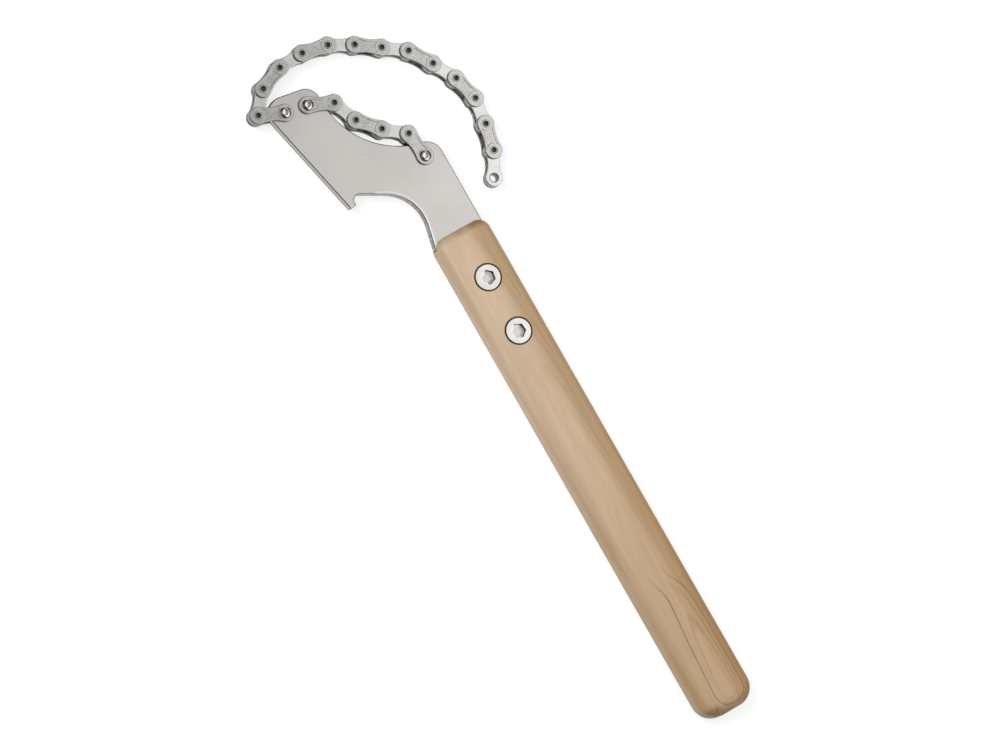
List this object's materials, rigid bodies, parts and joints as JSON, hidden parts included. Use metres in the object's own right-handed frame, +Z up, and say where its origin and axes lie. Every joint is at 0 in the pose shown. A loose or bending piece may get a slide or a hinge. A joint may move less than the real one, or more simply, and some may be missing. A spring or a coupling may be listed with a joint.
{
  "type": "bicycle chain whip",
  "caption": "Chain whip: a hooked flat steel blade in a wooden handle, with a short chain across its saddle and a long free chain.",
  "frame": {"origin": "centre of the handle's flat back, which the tool lies on", "axes": "+X along the handle towards its butt, +Y towards the chains, +Z up out of the handle's back towards the screw heads"},
  "size_m": [0.3619, 0.1023, 0.016],
  "materials": {
    "handle_wood": "oiled light hardwood with brown grain",
    "blade_steel": "satin",
    "outer_plate_steel": "satin nickel",
    "inner_plate_steel": "satin nickel",
    "pin_steel": "satin",
    "roller_steel": "smooth",
    "bright_steel": "polished"
  },
  "bodies": {
    "tool": {"handle": "handle_wood", "blade": "blade_steel", "rivets": "bright_steel", "screws": "bright_steel", "barrel_nuts": "bright_steel"},
    "long_link_01": {"long_outer_plates_1": "outer_plate_steel", "long_pins_1": "pin_steel"},
    "long_link_02": {"long_inner_plates_1": "inner_plate_steel"},
    "long_link_03": {"long_outer_plates_2": "outer_plate_steel", "long_pins_2": "pin_steel"},
    "long_link_04": {"long_inner_plates_2": "inner_plate_steel"},
    "long_link_05": {"long_outer_plates_3": "outer_plate_steel", "long_pins_3": "pin_steel"},
    "long_link_06": {"long_inner_plates_3": "inner_plate_steel"},
    "long_link_07": {"long_outer_plates_4": "outer_plate_steel", "long_pins_4": "pin_steel"},
    "long_link_08": {"long_inner_plates_4": "inner_plate_steel"},
    "long_link_09": {"long_outer_plates_5": "outer_plate_steel", "long_pins_5": "pin_steel"},
    "long_link_10": {"long_inner_plates_5": "inner_plate_steel"},
    "long_link_11": {"long_outer_plates_6": "outer_plate_steel", "long_pins_6": "pin_steel"},
    "long_link_12": {"long_inner_plates_6": "inner_plate_steel"},
    "long_link_13": {"long_outer_plates_7": "outer_plate_steel", "long_pins_7": "pin_steel"},
    "long_link_14": {"long_inner_plates_7": "inner_plate_steel"},
    "long_roller_01": {"long_roller_01": "roller_steel"},
    "long_roller_02": {"long_roller_02": "roller_steel"},
    "long_roller_03": {"long_roller_03": "roller_steel"},
    "long_roller_04": {"long_roller_04": "roller_steel"},
    "long_roller_05": {"long_roller_05": "roller_steel"},
    "long_roller_06": {"long_roller_06": "roller_steel"},
    "long_roller_07": {"long_roller_07": "roller_steel"},
    "long_roller_08": {"long_roller_08": "roller_steel"},
    "long_roller_09": {"long_roller_09": "roller_steel"},
    "long_roller_10": {"long_roller_10": "roller_steel"},
    "long_roller_11": {"long_roller_11": "roller_steel"},
    "long_roller_12": {"long_roller_12": "roller_steel"},
    "long_roller_13": {"long_roller_13": "roller_steel"},
    "long_roller_14": {"long_roller_14": "roller_steel"},
    "short_link_1": {"short_outer_plates_1": "outer_plate_steel", "short_pins_1": "pin_steel"},
    "short_link_2": {"short_inner_plates_1": "inner_plate_steel"},
    "short_link_3": {"short_outer_plates_2": "outer_plate_steel", "short_pins_2": "pin_steel"},
    "short_link_4": {"short_inner_plates_2": "inner_plate_steel"},
    "short_link_5": {"short_outer_plates_3": "outer_plate_steel", "short_pins_3": "pin_steel"},
    "short_roller_01": {"short_roller_01": "roller_steel"},
    "short_roller_02": {"short_roller_02": "roller_steel"},
    "short_roller_03": {"short_roller_03": "roller_steel"},
    "short_roller_04": {"short_roller_04": "roller_steel"}
  },
  "joints": [
    {"name": "long_pivot_01", "type": "hinge", "parent": "tool", "child": "long_link_01", "pos_m": [-0.2115, -0.0438, 0.008], "axis": [0, 0, 1], "range_deg": [0, 55]},
    {"name": "long_pivot_02", "type": "hinge", "parent": "long_link_01", "child": "long_link_02", "pos_m": [-0.21626, -0.05558, 0.008], "axis": [0, 0, -1], "range_deg": [-120, 0]},
    {"name": "long_pivot_03", "type": "hinge", "parent": "long_link_02", "child": "long_link_03", "pos_m": [-0.22584, -0.04724, 0.008], "axis": [0, 0, 1], "range_deg": [-5, 75]},
    {"name": "long_pivot_04", "type": "hinge", "parent": "long_link_03", "child": "long_link_04", "pos_m": [-0.2306, -0.03547, 0.008], "axis": [0, 0, -1], "range_deg": [-75, 5]},
    {"name": "long_pivot_05", "type": "hinge", "parent": "long_link_04", "child": "long_link_05", "pos_m": [-0.23149, -0.0228, 0.008], "axis": [0, 0, 1], "range_deg": [-5, 75]},
    {"name": "long_pivot_06", "type": "hinge", "parent": "long_link_05", "child": "long_link_06", "pos_m": [-0.22906, -0.01033, 0.008], "axis": [0, 0, -1], "range_deg": [-75, 5]},
    {"name": "long_pivot_07", "type": "hinge", "parent": "long_link_06", "child": "long_link_07", "pos_m": [-0.2233, 0.00098, 0.008], "axis": [0, 0, 1], "range_deg": [-5, 75]},
    {"name": "long_pivot_08", "type": "hinge", "parent": "long_link_07", "child": "long_link_08", "pos_m": [-0.21619, 0.01151, 0.008], "axis": [0, 0, -1], "range_deg": [-75, 5]},
    {"name": "long_pivot_09", "type": "hinge", "parent": "long_link_08", "child": "long_link_09", "pos_m": [-0.20891, 0.02192, 0.008], "axis": [0, 0, 1], "range_deg": [-5, 75]},
    {"name": "long_pivot_10", "type": "hinge", "parent": "long_link_09", "child": "long_link_10", "pos_m": [-0.19838, 0.02902, 0.008], "axis": [0, 0, -1], "range_deg": [-75, 8]},
    {"name": "long_pivot_11", "type": "hinge", "parent": "long_link_10", "child": "long_link_11", "pos_m": [-0.18727, 0.03517, 0.008], "axis": [0, 0, 1], "range_deg": [-10, 75]},
    {"name": "long_pivot_12", "type": "hinge", "parent": "long_link_11", "child": "long_link_12", "pos_m": [-0.17501, 0.03846, 0.008], "axis": [0, 0, -1], "range_deg": [-75, 15]},
    {"name": "long_pivot_13", "type": "hinge", "parent": "long_link_12", "child": "long_link_13", "pos_m": [-0.16243, 0.03669, 0.008], "axis": [0, 0, 1], "range_deg": [-25, 75]},
    {"name": "long_pivot_14", "type": "hinge", "parent": "long_link_13", "child": "long_link_14", "pos_m": [-0.15006, 0.03384, 0.008], "axis": [0, 0, -1], "range_deg": [-75, 75]},
    {"name": "long_roller_01_spin", "type": "hinge", "parent": "long_link_02", "child": "long_roller_01", "pos_m": [-0.21626, -0.05558, 0.008], "axis": [0, 0, 1], "continuous": true},
    {"name": "long_roller_02_spin", "type": "hinge", "parent": "long_link_02", "child": "long_roller_02", "pos_m": [-0.22584, -0.04724, 0.008], "axis": [0, 0, 1], "continuous": true},
    {"name": "long_roller_03_spin", "type": "hinge", "parent": "long_link_04", "child": "long_roller_03", "pos_m": [-0.2306, -0.03547, 0.008], "axis": [0, 0, 1], "continuous": true},
    {"name": "long_roller_04_spin", "type": "hinge", "parent": "long_link_04", "child": "long_roller_04", "pos_m": [-0.23149, -0.0228, 0.008], "axis": [0, 0, 1], "continuous": true},
    {"name": "long_roller_05_spin", "type": "hinge", "parent": "long_link_06", "child": "long_roller_05", "pos_m": [-0.22906, -0.01033, 0.008], "axis": [0, 0, 1], "continuous": true},
    {"name": "long_roller_06_spin", "type": "hinge", "parent": "long_link_06", "child": "long_roller_06", "pos_m": [-0.2233, 0.00098, 0.008], "axis": [0, 0, 1], "continuous": true},
    {"name": "long_roller_07_spin", "type": "hinge", "parent": "long_link_08", "child": "long_roller_07", "pos_m": [-0.21619, 0.01151, 0.008], "axis": [0, 0, 1], "continuous": true},
    {"name": "long_roller_08_spin", "type": "hinge", "parent": "long_link_08", "child": "long_roller_08", "pos_m": [-0.20891, 0.02192, 0.008], "axis": [0, 0, 1], "continuous": true},
    {"name": "long_roller_09_spin", "type": "hinge", "parent": "long_link_10", "child": "long_roller_09", "pos_m": [-0.19838, 0.02902, 0.008], "axis": [0, 0, 1], "continuous": true},
    {"name": "long_roller_10_spin", "type": "hinge", "parent": "long_link_10", "child": "long_roller_10", "pos_m": [-0.18727, 0.03517, 0.008], "axis": [0, 0, 1], "continuous": true},
    {"name": "long_roller_11_spin", "type": "hinge", "parent": "long_link_12", "child": "long_roller_11", "pos_m": [-0.17501, 0.03846, 0.008], "axis": [0, 0, 1], "continuous": true},
    {"name": "long_roller_12_spin", "type": "hinge", "parent": "long_link_12", "child": "long_roller_12", "pos_m": [-0.16243, 0.03669, 0.008], "axis": [0, 0, 1], "continuous": true},
    {"name": "long_roller_13_spin", "type": "hinge", "parent": "long_link_14", "child": "long_roller_13", "pos_m": [-0.15006, 0.03384, 0.008], "axis": [0, 0, 1], "continuous": true},
    {"name": "long_roller_14_spin", "type": "hinge", "parent": "long_link_14", "child": "long_roller_14", "pos_m": [-0.13895, 0.02768, 0.008], "axis": [0, 0, 1], "continuous": true},
    {"name": "short_pivot_1", "type": "hinge", "parent": "tool", "child": "short_link_1", "pos_m": [-0.2096, -0.0328, 0.008], "axis": [0, 0, 1], "range_deg": [-2, 5]},
    {"name": "short_pivot_2", "type": "hinge", "parent": "short_link_1", "child": "short_link_2", "pos_m": [-0.20464, -0.02111, 0.008], "axis": [0, 0, 1], "range_deg": [-5.77, 2.31]},
    {"name": "short_pivot_3", "type": "hinge", "parent": "short_link_2", "child": "short_link_3", "pos_m": [-0.19286, -0.01635, 0.008], "axis": [0, 0, 1], "range_deg": [-3.53, 1.41]},
    {"name": "short_pivot_4", "type": "hinge", "parent": "short_link_3", "child": "short_link_4", "pos_m": [-0.18357, -0.00769, 0.008], "axis": [0, 0, 1], "range_deg": [-1.4, 0.56]},
    {"name": "short_pivot_5", "type": "hinge", "parent": "short_link_4", "child": "short_link_5", "pos_m": [-0.17576, 0.00232, 0.008], "axis": [0, 0, 1], "range_deg": [-2.98, 7.46]},
    {"name": "short_roller_01_spin", "type": "hinge", "parent": "short_link_2", "child": "short_roller_01", "pos_m": [-0.20464, -0.02111, 0.008], "axis": [0, 0, 1], "continuous": true},
    {"name": "short_roller_02_spin", "type": "hinge", "parent": "short_link_2", "child": "short_roller_02", "pos_m": [-0.19286, -0.01635, 0.008], "axis": [0, 0, 1], "continuous": true},
    {"name": "short_roller_03_spin", "type": "hinge", "parent": "short_link_4", "child": "short_roller_03", "pos_m": [-0.18357, -0.00769, 0.008], "axis": [0, 0, 1], "continuous": true},
    {"name": "short_roller_04_spin", "type": "hinge", "parent": "short_link_4", "child": "short_roller_04", "pos_m": [-0.17576, 0.00232, 0.008], "axis": [0, 0, 1], "continuous": true}
  ],
  "couplings": [
    {"joint": "short_pivot_2", "follows": "short_pivot_1", "ratio": -0.9612},
    {"joint": "short_pivot_3", "follows": "short_pivot_1", "ratio": -0.5876},
    {"joint": "short_pivot_4", "follows": "short_pivot_1", "ratio": -0.2338},
    {"joint": "short_pivot_5", "follows": "short_pivot_1", "ratio": 1.2427}
  ]
}
